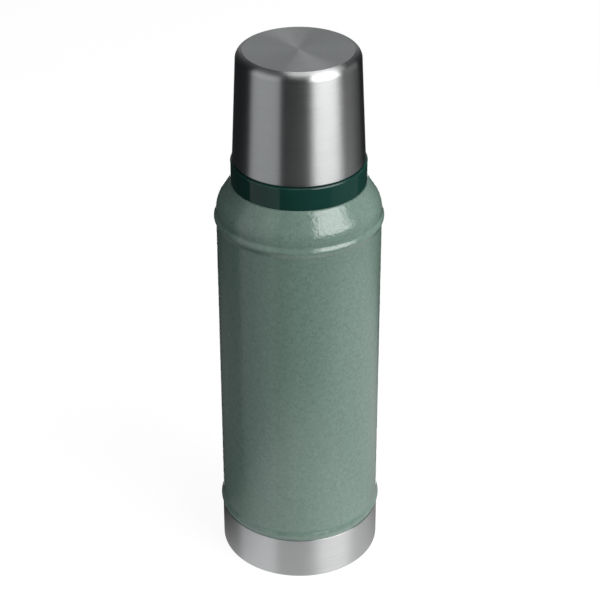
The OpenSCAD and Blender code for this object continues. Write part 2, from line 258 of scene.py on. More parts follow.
# deep is the colour in the hollows of the hammered relief and light the colour on its tops: painted shade in
# the hollows and a painted highlight on the tops, over a random cloud tone
enamel = dict(deep=(0.146, 0.219, 0.185), light=(0.187, 0.278, 0.236), wormSize=1.9 * mm, wormBend=0.9,
              wormDepth=0.16 * mm, cloudScale=28, cloudShare=0.25, gloss=0.09, ior=1.58)


def hammeredEnamel():
    material, tree, shader = newMaterial("hammeredEnamel")
    here = place(tree)
    worms = noise(tree, here, 1 / enamel["wormSize"], 1.0, 0.5, enamel["wormBend"])
    clouds = noise(tree, here, enamel["cloudScale"], 3.0, 0.6)
    mixed = add(tree, "ShaderNodeMath", operation="MULTIPLY_ADD")
    mixed.inputs[1].default_value = enamel["cloudShare"]
    tree.links.new(clouds, mixed.inputs[0])
    # the colour follows the relief's height, lighter on the tops and darker in the hollows, which is painted
    # shade and painted highlight; the clouds add random tone
    tree.links.new(spread(tree, worms, 0.1, 0.65, 0.3, 0.7), mixed.inputs[2])
    tree.links.new(colours(tree, mixed.outputs[0], [(0.15, enamel["deep"]), (0.85, enamel["light"])]),
                   shader.inputs["Base Color"])
    tree.links.new(spread(tree, worms, enamel["gloss"] + 0.05, enamel["gloss"] - 0.03, 0.3, 0.7),
                   shader.inputs["Roughness"])
    shader.inputs["IOR"].default_value = enamel["ior"]
    relief(tree, shader, worms, enamel["wormDepth"])
    return material


steel = dict(tint=(0.585, 0.59, 0.592), roughness=0.36, stretch=0.93, lineSize=0.35 * mm, flatEnds=0.62)


def brushLines(tree, size):
    # lines that run round the axis, on walls and on flat ends alike
    across, roundAxis = 1 / size, 2.5  # the noise changes fast across the lines and slowly along them
    parts = add(tree, "ShaderNodeSeparateXYZ")
    tree.links.new(place(tree), parts.inputs[0])
    flat = add(tree, "ShaderNodeCombineXYZ")
    tree.links.new(parts.outputs[0], flat.inputs[0])
    tree.links.new(parts.outputs[1], flat.inputs[1])
    radius = add(tree, "ShaderNodeVectorMath", operation="LENGTH")
    tree.links.new(flat.outputs[0], radius.inputs[0])
    heading = add(tree, "ShaderNodeVectorMath", operation="NORMALIZE")
    tree.links.new(flat.outputs[0], heading.inputs[0])
    turn = add(tree, "ShaderNodeSeparateXYZ")
    tree.links.new(heading.outputs[0], turn.inputs[0])
    scaled = []
    for source, factor in ((radius.outputs["Value"], across), (parts.outputs[2], across),
                           (turn.outputs[0], roundAxis), (turn.outputs[1], roundAxis)):
        times = add(tree, "ShaderNodeMath", operation="MULTIPLY")
        times.inputs[1].default_value = factor
        tree.links.new(source, times.inputs[0])
        scaled.append(times.outputs[0])
    joined = add(tree, "ShaderNodeCombineXYZ")
    for k in range(3):
        tree.links.new(scaled[k], joined.inputs[k])
    lines = add(tree, "ShaderNodeTexNoise", noise_dimensions="4D")
    lines.inputs["Scale"].default_value = 1.0
    lines.inputs["Detail"].default_value = 3.0
    lines.inputs["Roughness"].default_value = 0.65
    tree.links.new(joined.outputs[0], lines.inputs["Vector"])
    tree.links.new(scaled[3], lines.inputs["W"])
    return lines.outputs["Fac"]


def brushedSteel():
    material, tree, shader = newMaterial("brushedSteel")
    lines = brushLines(tree, steel["lineSize"])
    dark, bright = [tuple(c * k for c in steel["tint"]) for k in (0.93, 1.05)]
    tree.links.new(colours(tree, lines, [(0.3, dark), (0.7, bright)]), shader.inputs["Base Color"])
    facing = add(tree, "ShaderNodeSeparateXYZ")
    tree.links.new(add(tree, "ShaderNodeTexCoord").outputs["Normal"], facing.inputs[0])
    flat = add(tree, "ShaderNodeMath", operation="ABSOLUTE")
    tree.links.new(facing.outputs[2], flat.inputs[0])
    finer = add(tree, "ShaderNodeMath", operation="MULTIPLY")  # flat ends are turned finer than the walls
    tree.links.new(spread(tree, lines, steel["roughness"] - 0.03, steel["roughness"] + 0.04, 0.3, 0.7),
                   finer.inputs[0])
    tree.links.new(spread(tree, flat.outputs[0], 1.0, steel["flatEnds"], 0.93, 0.99), finer.inputs[1])
    tree.links.new(finer.outputs[0], shader.inputs["Roughness"])
    shader.inputs["Metallic"].default_value = 1.0
    shader.inputs["Anisotropic"].default_value = steel["stretch"]
    shader.inputs["Anisotropic Rotation"].default_value = 0.25
    tangent = add(tree, "ShaderNodeTangent", direction_type="RADIAL", axis="Z")
    tree.links.new(tangent.outputs[0], shader.inputs["Tangent"])
    relief(tree, shader, lines, 0.002 * mm, 0.6)
    return material


satin = dict(tint=(0.56, 0.565, 0.57), roughness=0.3, lineSize=0.5 * mm)


def satinSteel():
    material, tree, shader = newMaterial("satinSteel")
    lines = brushLines(tree, satin["lineSize"])
    dark, bright = [tuple(c * k for c in satin["tint"]) for k in (0.9, 1.06)]
    tree.links.new(colours(tree, lines, [(0.3, dark), (0.7, bright)]), shader.inputs["Base Color"])
    tree.links.new(spread(tree, lines, satin["roughness"] - 0.05, satin["roughness"] + 0.06, 0.3, 0.7),
                   shader.inputs["Roughness"])
    shader.inputs["Metallic"].default_value = 1.0
    relief(tree, shader, lines, 0.004 * mm, 0.6)
    return material


def mouldedPlastic(name, look):
    material, tree, shader = newMaterial(name)
    here = place(tree)
    grain = noise(tree, here, 1 / look["grainSize"], 2.0, 0.55)
    clouds = noise(tree, here, 35, 2.0, 0.5)
    dark, bright = [tuple(c * k for c in look["tint"]) for k in (0.88, 1.14)]
    tree.links.new(colours(tree, clouds, [(0.3, dark), (0.7, bright)]), shader.inputs["Base Color"])
    tree.links.new(spread(tree, grain, look["roughness"] - 0.02, look["roughness"] + 0.03, 0.3, 0.7),
                   shader.inputs["Roughness"])
    shader.inputs["IOR"].default_value = 1.5
    relief(tree, shader, grain, look["grainDepth"])
    return material


collarPlastic = dict(tint=(0.0085, 0.046, 0.036), roughness=0.08, grainSize=2.5 * mm, grainDepth=0.004 * mm)
stopperPlastic = dict(tint=(0.008, 0.036, 0.029), roughness=0.3, grainSize=0.35 * mm, grainDepth=0.01 * mm)


silicone = dict(tint=(0.62, 0.64, 0.62), roughness=0.45, grainSize=0.4 * mm, grainDepth=0.006 * mm,
                milkiness=0.25, lightReach=(4 * mm, 4 * mm, 3 * mm))


def softSilicone():
    material = mouldedPlastic("softSilicone", silicone)
    shader = material.node_tree.nodes["Principled BSDF"]
    shader.inputs["Subsurface Weight"].default_value = silicone["milkiness"]
    shader.inputs["Subsurface Radius"].default_value = silicone["lightReach"]
    shader.inputs["Subsurface Scale"].default_value = 0.5
    return material


foam = dict(deep=(0.62, 0.58, 0.48), light=(0.84, 0.81, 0.72), cellScale=900, cellDepth=0.15 * mm)


def rigidFoam():
    material, tree, shader = newMaterial("rigidFoam")
    cells = add(tree, "ShaderNodeTexVoronoi", feature="SMOOTH_F1")
    cells.inputs["Scale"].default_value = foam["cellScale"]
    tree.links.new(place(tree), cells.inputs["Vector"])
    tree.links.new(colours(tree, cells.outputs["Distance"], [(0.1, foam["deep"]), (0.7, foam["light"])]),
                   shader.inputs["Base Color"])
    shader.inputs["Roughness"].default_value = 0.9
    relief(tree, shader, cells.outputs["Distance"], foam["cellDepth"])
    return material


foil = dict(deep=(0.78, 0.78, 0.79), light=(0.92, 0.92, 0.93), foldScale=160, foldDepth=0.2 * mm)


def crinkledFoil():
    material, tree, shader = newMaterial("crinkledFoil")
    folds = noise(tree, place(tree), foil["foldScale"], 4.0, 0.6, 0.4)
    tree.links.new(colours(tree, folds, [(0.3, foil["deep"]), (0.7, foil["light"])]),
                   shader.inputs["Base Color"])
    tree.links.new(spread(tree, folds, 0.12, 0.3), shader.inputs["Roughness"])
    shader.inputs["Metallic"].default_value = 1.0
    relief(tree, shader, folds, foil["foldDepth"])
    return material


getter = dict(deep=(0.07, 0.07, 0.075), light=(0.17, 0.17, 0.18), grainScale=3000, grainDepth=0.05 * mm)


def sinteredGetter():
    material, tree, shader = newMaterial("sinteredGetter")
    grain = noise(tree, place(tree), getter["grainScale"], 3.0, 0.7)
    tree.links.new(colours(tree, grain, [(0.3, getter["deep"]), (0.7, getter["light"])]),
                   shader.inputs["Base Color"])
    shader.inputs["Metallic"].default_value = 0.7
    shader.inputs["Roughness"].default_value = 0.65
    relief(tree, shader, grain, getter["grainDepth"])
    return material


finish = dict(enamel=hammeredEnamel(), brushed=brushedSteel(), inner_steel=satinSteel(), foil=crinkledFoil(),
              solder=sinteredGetter(), collar_plastic=mouldedPlastic("collarPlastic", collarPlastic),
              stopper_plastic=mouldedPlastic("stopperPlastic", stopperPlastic), silicone=softSilicone(),
              foam=rigidFoam())
finish["liner_plastic"] = finish["collar_plastic"]
print("finishes made:", len(finish))


# places taken from the frame, in millimetres
def low(node):
    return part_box(node)[0] / mm


def high(node):
    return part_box(node)[1] / mm


foot = low("base_cup").z
bandTop = low("body_tube").z
deck = low("neck_collar").z
lip = high("inner_neck").z
throatFoot = low("inner_neck").z
cupFoot, cupTop = low("cup_shell").z, high("cup_shell").z
print("deck", round(deck, 2), "lip", round(lip, 2), "cup", round(cupFoot, 2), round(cupTop, 2))

shell = dict(bodyRadius=45.0, beadOut=1.15, beadHeight=7.0, sheet=0.6, domeHeight=17.2, domeBend=17.0,
             deckEdge=37.3, deckBendIn=1.0, deckBendOut=0.9, neckRadius=27.2, neckDrop=0.6, spigotRise=7.4,
             spigotChamfer=0.3, snapHeight=5.0, snapTall=4.0, snapOut=0.5, snapSteps=10)
beadBase = deck - shell["domeHeight"] - shell["beadHeight"]
beadTop = deck - shell["domeHeight"]
spigotRadius = shell["bodyRadius"] - shell["sheet"] - fit


def domePath():
    # the shoulder's bend, from where it leaves the slope down to the upright wall
    bend, edge, wall = shell["domeBend"], shell["deckEdge"], shell["bodyRadius"]
    centre = wall - bend
    dx, dz = edge - centre, shell["domeHeight"]
    turn = math.atan2(dz, dx) - math.acos(bend / math.hypot(dx, dz))
    return [(centre + bend * math.cos(turn * t), beadTop + bend * math.sin(turn * t))
            for t in np.linspace(1, 0, 18)]


def buildShoulder():
    neck, edge = shell["neckRadius"], shell["deckEdge"]
    snapLow = deck + shell["snapHeight"]
    outside = [(neck, lip - shell["neckDrop"])]
    outside += beadPath(neck, snapLow, snapLow + shell["snapTall"], shell["snapOut"], shell["snapSteps"])
    outside += cornerArc((neck, snapLow), (neck, deck), (edge, deck), shell["deckBendIn"])
    outside += cornerArc((neck, deck), (edge, deck), domePath()[0], shell["deckBendOut"])
    outside += domePath()
    outside += beadPath(shell["bodyRadius"], beadBase, beadTop, shell["beadOut"])[1:]
    path = spaced(wallPath(outside, shell["sheet"]), 3.0, 0.1)
    turned("enamelShoulder", path, "bottle", "shoulder", "enamel", 224)


def buildBodyTube():
    chamfer = shell["spigotChamfer"]
    outside = [(spigotRadius, beadBase + shell["spigotRise"]), (spigotRadius, beadBase + chamfer),
               (spigotRadius + chamfer, beadBase), (shell["bodyRadius"], beadBase)]
    outside += beadPath(shell["bodyRadius"], bandTop, bandTop + shell["beadHeight"], shell["beadOut"])
    path = spaced(wallPath(outside, shell["sheet"]), 5.0, 0.1)
    turned("enamelBody", path, "bottle", "body_tube", "enamel", 224)


buildShoulder()
buildBodyTube()

base = dict(radius=45.3, bend=1.2, shoulderBend=0.2, footWidth=2.8, recess=5.0, sheet=0.6, spigotRise=7.4,
            dimpleRadius=8.0, dimpleSlope=2.0, dimpleBend=0.8, dimpleRise=1.5, holeRadius=1.5)


def buildBase():
    radius, bend = base["radius"], base["bend"]
    inside = radius - base["footWidth"]
    top = foot + base["recess"]
    dimple, dimpleTop, dimpleBend = base["dimpleRadius"], top + base["dimpleRise"], base["dimpleBend"]
    outside = softPath([(spigotRadius, bandTop + base["spigotRise"]), (spigotRadius, bandTop),
                        (radius, bandTop, base["shoulderBend"]), (radius, foot, bend), (inside, foot, bend),
                        (inside, top, bend), (dimple, top, dimpleBend),
                        (dimple - base["dimpleSlope"], dimpleTop, dimpleBend),
                        (base["holeRadius"], dimpleTop)])
    path = spaced(wallPath(outside, base["sheet"]), 4.0, 0.1)
    turned("steelBase", path, "bottle", "base_cup", "brushed")


cover = dict(rim=42.45, rimDrop=1.4, rimBend=1.2, disc=30.5, discRise=0.7, slope=1.2, discBend=0.8, sheet=0.6)


def buildBaseCover():
    rim, disc, under = cover["rim"], cover["disc"], low("base_cover").z
    outside = softPath([(rim, foot + base["recess"] - cover["rimDrop"]), (rim, under, cover["rimBend"]),
                        (disc + cover["slope"], under, cover["discBend"]),
                        (disc, under + cover["discRise"], cover["discBend"]), (0, under + cover["discRise"])])
    path = spaced(wallPath(outside, cover["sheet"]), 4.0, 0.1)
    turned("steelCover", path, "bottle", "base_cover", "brushed")


buildBase()
buildBaseCover()
print("outer shell done")

vessel = dict(mouth=24.0, throat=20.8, wall=0.5, body=36.3, seatRise=2.3, seatBend=0.6, domeFull=0.8,
              domeDrawn=0.3, straight=0.5, floorHeight=18.5, floorBend=3.0, lipHeight=0.6, lipRound=0.28)
seat = deck + vessel["seatRise"]
seatTop = seat + vessel["mouth"] - vessel["throat"]
domeFoot = low("inner_shoulder").z
neckThread = dict(lead=5.0, starts=1, low=lip - 13.6, high=lip - 6.4, start=0, foot=2.8, tip=1.8, depth=1.0)


def buildInnerNeck():
    mouth, throat, wall, bend = vessel["mouth"], vessel["throat"], vessel["wall"], vessel["seatBend"]
    edge, lipRound, lipFoot = shell["neckRadius"], vessel["lipRound"], lip - vessel["lipHeight"]
    threadFrom, threadTo, plain = seatTop + 2, lip - 4, lip - 2
    inside = softPath([(throat, throatFoot), (throat, seat, bend), (mouth, seatTop, bend),
                       (mouth, threadFrom)])[:-1]
    inside += ladder(mouth, threadFrom, threadTo)
    outside = softPath([(mouth, plain), (mouth, lip, lipRound), (edge, lip, lipRound), (edge, lipFoot),
                        (mouth + wall, lipFoot), (mouth + wall, seatTop, bend), (throat + wall, seat, bend),
                        (throat + wall, throatFoot)])
    turned("innerNeck", spaced(inside + outside, 3.0), "bottle", "inner_neck", "inner_steel", 240,
           threaded(neckThread, mouth, -1))


def buildInnerShoulder():
    # one smooth curve from the wall to the throat, upright at both ends
    wide, narrow = vessel["body"], vessel["throat"]
    bottom, top = domeFoot + vessel["straight"], throatFoot - vessel["straight"]
    rise = throatFoot - domeFoot
    lowPull, highPull = bottom + vessel["domeFull"] * rise, top - vessel["domeDrawn"] * rise
    path = [(wide, domeFoot)]
    for t in np.linspace(0, 1, 25):
        k = 1 - t
        path.append((wide * (k ** 3 + 3 * k * k * t) + narrow * (3 * k * t * t + t ** 3),
                     bottom * k ** 3 + 3 * k * k * t * lowPull + 3 * k * t * t * highPull + top * t ** 3))
    path.append((narrow, throatFoot))
    turned("innerShoulder", spaced(wallPath(path, vessel["wall"]), 3.0), "bottle", "inner_shoulder",
           "inner_steel")


def buildInnerBody():
    wall, bottom = vessel["wall"], low("inner_body").z
    path = wallPath([(vessel["body"], bottom), (vessel["body"], domeFoot)], wall)
    turned("innerBody", spaced(path, 8.0), "bottle", "inner_body", "inner_steel")
    skirt, level = vessel["body"] - fit, vessel["floorHeight"]
    floor = softPath([(0, level), (skirt, level, vessel["floorBend"]), (skirt, bottom)])
    turned("innerFloor", spaced(wallPath(floor, wall), 4.0), "bottle", "inner_base", "inner_steel")


buildInnerNeck()
buildInnerShoulder()
buildInnerBody()
print("inner bottle done")

collar = dict(radius=36.7, band=12.8, bore=27.35, sleeve=2.2, sleeveFoot=1.6, sleeveDrop=0.8, skirt=2.2,
              topWall=2.2, topEdge=0.9, footEdge=0.3, rootBend=0.5, sleeveEdge=0.5, boreEdge=0.4, bossStep=0.6,
              pocketBend=0.8, snapRoom=0.2, ribs=12, ribWidth=1.2, ribFoot=3.0, ribSink=0.3, ribTopSink=0.4)
shelf = deck + collar["band"]
collarRoot = collar["bore"] + collar["sleeve"]
collarThread = dict(lead=8.0, starts=2, low=shelf + 3, high=shelf + 10.2, start=0, foot=2.2, tip=1.3,
                    depth=1.2)


def block(verts, faces, near, far, halfWidth, bottom, top, angle):
    # one upright rib, as six quads
    first = len(verts)
    for z in (bottom, top):
        for x, y in ((near, -halfWidth), (far, -halfWidth), (far, halfWidth), (near, halfWidth)):
            verts.append(((x * math.cos(angle) - y * math.sin(angle)) * mm,
                          (x * math.sin(angle) + y * math.cos(angle)) * mm, z * mm))
    for quad in ((3, 2, 1, 0), (4, 5, 6, 7), (0, 1, 5, 4), (1, 2, 6, 5), (2, 3, 7, 6), (3, 0, 4, 7)):
        faces.append(tuple(first + k for k in quad))


def buildRibs(piece, near, far, top):
    verts, faces = [], []
    for k in range(collar["ribs"]):
        block(verts, faces, near - collar["ribSink"], far + collar["ribSink"], collar["ribWidth"] / 2,
              deck + collar["ribFoot"], top + collar["ribTopSink"], fullTurn * k / collar["ribs"])
    mesh = bpy.data.meshes.new("collarRibs")
    mesh.from_pydata(verts, [], faces)
    mesh.materials.append(finish["collar_plastic"])
    ribs = bpy.data.objects.new("collarRibs", mesh)
    bpy.context.scene.collection.objects.link(ribs)
    ribs.parent = piece


def buildCollar():
    radius, bore = collar["radius"], collar["bore"]
    sleeveTop, sleeveFoot = lip - collar["sleeveDrop"], deck + collar["sleeveFoot"]
    boss, pocket = collarRoot + collar["bossStep"], shelf - collar["topWall"]
    skirt = radius - collar["skirt"]
    snapLow = deck + shell["snapHeight"] - collar["snapRoom"]
    snapHigh = deck + shell["snapHeight"] + shell["snapTall"] + collar["snapRoom"]
    outer = softPath([(skirt, deck), (radius, deck, collar["footEdge"]), (radius, shelf, collar["topEdge"]),
                      (collarRoot, shelf, collar["rootBend"]), (collarRoot, shelf + 2)])[:-1]
    outer += ladder(collarRoot, shelf + 1, sleeveTop - 1)
    inner = softPath([(collarRoot, sleeveTop - 1), (collarRoot, sleeveTop, collar["sleeveEdge"]),
                      (bore, sleeveTop, collar["boreEdge"]), (bore, sleeveTop - 1)])[1:]
    inner += beadPath(bore, snapLow, snapHigh, shell["snapOut"], shell["snapSteps"])
    inner += softPath([(bore, sleeveFoot + 2), (bore, sleeveFoot), (boss, sleeveFoot),
                       (boss, pocket, collar["pocketBend"]), (skirt, pocket, collar["pocketBend"]),
                       (skirt, deck + 1)])[1:]
    piece = turned("neckCollar", spaced(outer + inner, 3.0, 0.08), "bottle", "neck_collar", "collar_plastic",
                   288, threaded(collarThread, collarRoot, 1))
    buildRibs(piece, boss, skirt, pocket)


sealEdge = 0.3
collarSeal = dict(clearIn=1.1, clearOut=0.4, top=1.55)


def ring(name, inner, outer, bottom, top, body, node):
    path = softPath([(inner, bottom, sealEdge), (outer, bottom, sealEdge), (outer, top, sealEdge),
                     (inner, top, sealEdge)])
    turned(name, spaced(path, 3.0, 0.08), body, node, "silicone")


buildCollar()
ring("collarSeal", shell["neckRadius"] + collarSeal["clearIn"], collarRoot + collarSeal["clearOut"],
     deck + fit, deck + collarSeal["top"], "bottle", "collar_seal")
print("collar done")

stopper = dict(plug=22.7, plugWall=2.0, endGap=0.1, land=23.6, landHeight=4.2, landSlope=0.8, flange=27.0,
               flangeHeight=2.0, flangeEdge=0.5, slotWidth=9.0, slotDepth=0.9, slotRise=2.0, slotDrop=0.4,
               spigot=21.0, spigotHeight=3.0, spigotWall=2.0, spigotEdge=0.2)
lipSeal = dict(height=1.2, under=0.3, clearOut=0.4)
flangeFoot = lip + lipSeal["under"] + lipSeal["height"]
flangeTop = flangeFoot + stopper["flangeHeight"]
plugEnd = seatTop + stopper["endGap"]
slotFoot, slotTop = plugEnd + stopper["slotRise"], flangeFoot - stopper["slotDrop"]
core = stopper["plug"] - stopper["plugWall"]
plugThread = dict(neckThread, start=180)
knob = dict(radius=25.0, edge=1.8, footEdge=0.2, chamfer=0.8, chamferBend=0.6, holeRise=0.5, dishIn=4.0,
            dishSlope=1.0, dishDepth=1.2, dishBend=1.0, flutes=12, fluteRadius=2.4, fluteOffset=1.2,
            ridgeSoftness=0.25)


def knobShape(angle, radius, z):
    # round flutes cut straight down the side
    step = fullTurn / knob["flutes"]
    off = (angle + step / 2) % step - step / 2
    centre, cut, softness = knob["radius"] + knob["fluteOffset"], knob["fluteRadius"], knob["ridgeSoftness"]
    across = np.abs(centre * np.sin(off))
    beyond = 1e3  # no flute at this angle
    wall = np.where(across < cut, centre * np.cos(off) - np.sqrt(np.maximum(cut * cut - across * across, 0)),
                    beyond)
    blend = np.clip(0.5 + (wall - radius) / (2 * softness), 0, 1)
    return wall + (radius - wall) * blend - softness * blend * (1 - blend)


def buildKnob():
    bottom, top = low("stopper_knob").z, high("stopper_knob").z
    radius, hole = knob["radius"], stopper["spigot"] + fit
    holeTop, chamfer = bottom + stopper["spigotHeight"] + knob["holeRise"], knob["chamfer"]
    dish, sink = radius - knob["dishIn"], top - knob["dishDepth"]
    path = softPath([(0, holeTop), (hole, holeTop), (hole, bottom),
                     (radius - chamfer, bottom, knob["footEdge"]),
                     (radius, bottom + chamfer, knob["chamferBend"]), (radius, top, knob["edge"]),
                     (dish, top, knob["dishBend"]), (dish - knob["dishSlope"], sink, knob["dishBend"]),
                     (0, sink)])
    turned("stopperKnob", spaced(path, 2.0, 0.1), "stopper", "stopper_knob", "stopper_plastic", 432,
           knobShape, 30)


def plugShape(angle, radius, z):
    # the thread, and two pour slots cut flat across it
    wall = stopper["plug"]
    if radius[0] < wall - onWall or radius[0] > stopper["land"] + onWall:
        return radius
    out = radius + 0.0
    if abs(radius[0] - wall) < onWall:
        out = out + plugThread["depth"] * screwThread(plugThread, angle, z)
    if slotFoot <= z <= slotTop:
        floor = wall - stopper["slotDepth"]
        inSlot = np.abs(out * np.sin(angle)) < stopper["slotWidth"] / 2
        out = np.where(inSlot, np.minimum(out, floor / np.maximum(np.abs(np.cos(angle)), 0.5)), out)
    return out


def buildPlug():
    wall, land, flange, edge = stopper["plug"], stopper["land"], stopper["flange"], stopper["flangeEdge"]
    landFoot, slotEnd = flangeFoot - stopper["landHeight"], 0.04
    path = [(0, flangeFoot), (core, flangeFoot), (core, plugEnd), (wall, plugEnd), (wall, slotFoot - slotEnd)]
    path += ladder(wall, slotFoot, landFoot - stopper["landSlope"])
    path += ladder(land, landFoot, slotTop, 0.5) + [(land, slotTop + slotEnd), (land, flangeFoot)]
    spigot, spigotEdge = stopper["spigot"], stopper["spigotEdge"]
    bore, spigotTop = spigot - stopper["spigotWall"], flangeTop + stopper["spigotHeight"]
    path += softPath([(land, flangeFoot), (flange, flangeFoot, edge), (flange, flangeTop, edge),
                      (spigot, flangeTop), (spigot, spigotTop, spigotEdge), (bore, spigotTop, spigotEdge),
                      (bore, flangeTop), (0, flangeTop)])[1:]
    turned("stopperPlug", spaced(path, 3.0, 0.08), "stopper", "stopper_body", "stopper_plastic", 360,
           plugShape, 30)


plugBase = dict(height=1.4, capGap=0.5, capBend=0.8, rimIn=1.1, spigotHeight=3.6, spigotWall=1.6,
                spigotEdge=0.3)
plugSeal = dict(radiusIn=0.1, coneGap=0.45, coneEdge=0.12, shoulderBend=0.3, topEdge=0.2)
flange = seat + plugBase["height"]


def buildPlugBase():
    bottom = low("stopper_base").z
    cap, wide = vessel["throat"] - plugBase["capGap"], stopper["plug"] - plugBase["rimIn"]
    inside, edge = core - fit, plugBase["spigotEdge"]
    hollow, top = inside - plugBase["spigotWall"], flange + plugBase["spigotHeight"]
    path = softPath([(0, bottom), (cap, bottom, plugBase["capBend"]), (cap, flange - (wide - cap)),
                     (wide, flange), (inside, flange), (inside, top, edge), (hollow, top, edge),
                     (hollow, flange), (0, flange)])
    turned("plugBase", spaced(path, 3.0, 0.08), "stopper", "stopper_base", "stopper_plastic")


def buildPlugSeal():
    lowEdge, wide, top = flange + fit, stopper["plug"] - plugSeal["radiusIn"], plugEnd - fit
    cone = vessel["throat"] + lowEdge - seat - plugSeal["coneGap"]
    path = softPath([(core, lowEdge), (cone, lowEdge, plugSeal["coneEdge"]),
                     (wide, lowEdge + wide - cone, plugSeal["shoulderBend"]),
                     (wide, top, plugSeal["topEdge"]), (core, top)])
    turned("plugSeal", spaced(path, 2.0, 0.06), "stopper", "stopper_seal", "silicone")


buildKnob()
buildPlug()
buildPlugBase()
buildPlugSeal()
ring("lipSeal", stopper["land"] + fit, stopper["flange"] - lipSeal["clearOut"], lip + lipSeal["under"],
     flangeFoot - fit, "stopper", "stopper_top_seal")
print("stopper done")

cup = dict(radius=35.7, draft=2.83, topEdge=4.8, discStep=0.95, discEdge=0.12, sheet=0.6, rimFold=1.3,
           rimEdge=0.1)
liner = dict(root=31.1, wall=1.7, bend=6.0, ceilingEdge=5.0, ceilingDrop=4.9, ceilingIn=0.2, gap=2.3,
             lipGap=0.6, flangeHeight=1.4, flangeGap=0.1, edge=0.3, grooveIn=0.9, grooveWidth=1.8,
             grooveDepth=0.6, boreFoot=1.0, boreTop=10.4, threadFoot=2.5, threadTop=8.9, threadTurn=90)
rim = low("cup_liner").z
ceiling = cupTop - liner["ceilingDrop"]
grooveIn = liner["root"] + liner["grooveIn"]
grooveOut, grooveTop = grooveIn + liner["grooveWidth"], rim + liner["grooveDepth"]
linerLow = rim + liner["threadFoot"]
linerThread = dict(collarThread, low=linerLow, high=rim + liner["threadTop"],
                   start=360 * (linerLow - collarThread["low"]) / collarThread["lead"] + liner["threadTurn"])


def cupSide(z):
    return cup["radius"] - cup["draft"] * (z - cupFoot) / (cupTop - cupFoot)


def buildCupShell():
    radius, top = cup["radius"], cup["radius"] - cup["draft"]
    bend = cornerArc((0, cupTop), (top, cupTop), (radius, cupFoot), cup["topEdge"])
    disc = bend[0][0] + cup["discStep"]  # the flat disc cuts into the bend and ends in a crease
    outside = softPath([(0, cupTop), (disc, cupTop, cup["discEdge"])] + bend[2:]
                       + [(radius, cupFoot, cup["sheet"] + cup["rimEdge"]),
                          (radius - cup["rimFold"], cupFoot)])
    turned("cupShell", spaced(wallPath(outside, cup["sheet"]), 3.0, 0.1), "cup", "cup_shell", "brushed", 256)


def buildCupLiner():
    root, wall, edge, footTop = liner["root"], liner["wall"], liner["edge"], rim + liner["flangeHeight"]
    neck = lip + liner["lipGap"]
    top = cupSide(ceiling) - cup["sheet"] - liner["gap"] - wall - liner["ceilingIn"]
    footOut = cupSide(footTop) - cup["sheet"] - liner["flangeGap"]
    boreFoot, boreTop, step = rim + liner["boreFoot"], rim + liner["boreTop"], 0.2
    inside = [(root, boreFoot)] + ladder(root, boreFoot + step, boreTop)
    dome = softPath([(root, boreTop + step), (root, neck, liner["bend"]),
                     (top, ceiling, liner["ceilingEdge"]), (0, ceiling)])
    shellSide = wallPath(dome, wall)[len(dome):]
    mouth = softPath([(root + wall, rim + 4), (root + wall, footTop, edge), (footOut, footTop, edge),
                      (footOut, rim, edge), (grooveOut, rim), (grooveOut, grooveTop), (grooveIn, grooveTop),
                      (grooveIn, rim), (root, rim, edge), (root, boreFoot - step)])
    turned("cupLiner", spaced(inside + dome + shellSide + mouth, 3.0, 0.08), "cup", "cup_liner",
           "liner_plastic", 288, threaded(linerThread, root, -1))


buildCupShell()
buildCupLiner()
ring("cupGasket", grooveIn + fit, grooveOut - fit, cupFoot + fit, grooveTop - fit, "cup", "cup_gasket")
print("cup done")

view = dict(height=161.5 * mm, distance=1.034, elevation=30.95, lens=111.53, slideX=0.0012, slideY=-0.0037,
            roll=0.16, clipNear=0.05, clipFar=30)


def buildCamera():
    camera = bpy.data.objects.new("camera", bpy.data.cameras.new("camera"))
    bpy.context.scene.collection.objects.link(camera)
    tilt = math.radians(view["elevation"])
    back = Vector((0, -math.cos(tilt), math.sin(tilt)))
    camera.location = Vector((0, 0, view["height"])) + back * view["distance"]
    aim = (-back).to_track_quat("-Z", "Y").to_matrix() @ Matrix.Rotation(math.radians(-view["roll"]), 3, "Z")
    camera.rotation_euler = aim.to_euler()
    camera.data.lens = view["lens"]
    camera.data.shift_x, camera.data.shift_y = view["slideX"], view["slideY"]
    camera.data.clip_start, camera.data.clip_end = view["clipNear"], view["clipFar"]
    bpy.context.scene.camera = camera


def areaLamp(name, width, height, radiance, tint):
    data = bpy.data.lights.new(name, "AREA")
    data.shape = "RECTANGLE"
    data.size, data.size_y = width, height
    data.energy = radiance * math.pi * width * height
    data.color = tint
    lamp = bpy.data.objects.new(name, data)
    bpy.context.scene.collection.objects.link(lamp)
    return lamp


def softbox(name, heading, lowAngle, highAngle, width, distance, radiance, tint=(1, 1, 1)):
    # an upright panel facing the flask, between two angles above the horizon, seen from mid height
    middle = 0.2
    bottom = middle + distance * math.tan(math.radians(lowAngle))
    top = middle + distance * math.tan(math.radians(highAngle))
    lamp = areaLamp(name, 2 * distance * math.tan(math.radians(width / 2)), top - bottom, radiance, tint)
    side = math.radians(heading)
    lamp.location = (distance * math.sin(side), -distance * math.cos(side), (top + bottom) / 2)
    inward = Vector((-math.sin(side), math.cos(side), 0))
    lamp.rotation_euler = inward.to_track_quat("-Z", "Y").to_euler()


# heading, lowest and highest angle and width in degrees, then distance, radiance and tint
panels = dict(keyPanel=(49.3, 7, 46, 57, 1.2, 3.1), keyCore=(48.5, 7, 46, 42, 1.15, 3.0),
              leftPanel=(-60.5, -12, 44, 57, 1.2, 0.66, (0.97, 0.99, 1.0)),
              leftLow=(-60.5, -42, -12, 57, 1.2, 0.35, (0.94, 0.98, 1.0)),
              rightLow=(85, -42, -14, 60, 1.4, 0.13), sidePanel=(106, -10, 30, 36, 1.5, 0.25),
              backPanel=(180, 5, 50, 44, 1.5, 0.29, (0.96, 0.99, 1.0)), backLow=(180, -60, -8, 24, 1.3, 2.2))
topPanel = dict(spot=(0.5, 0.07, 1.5), width=1.4, depth=1.1, radiance=1.65)


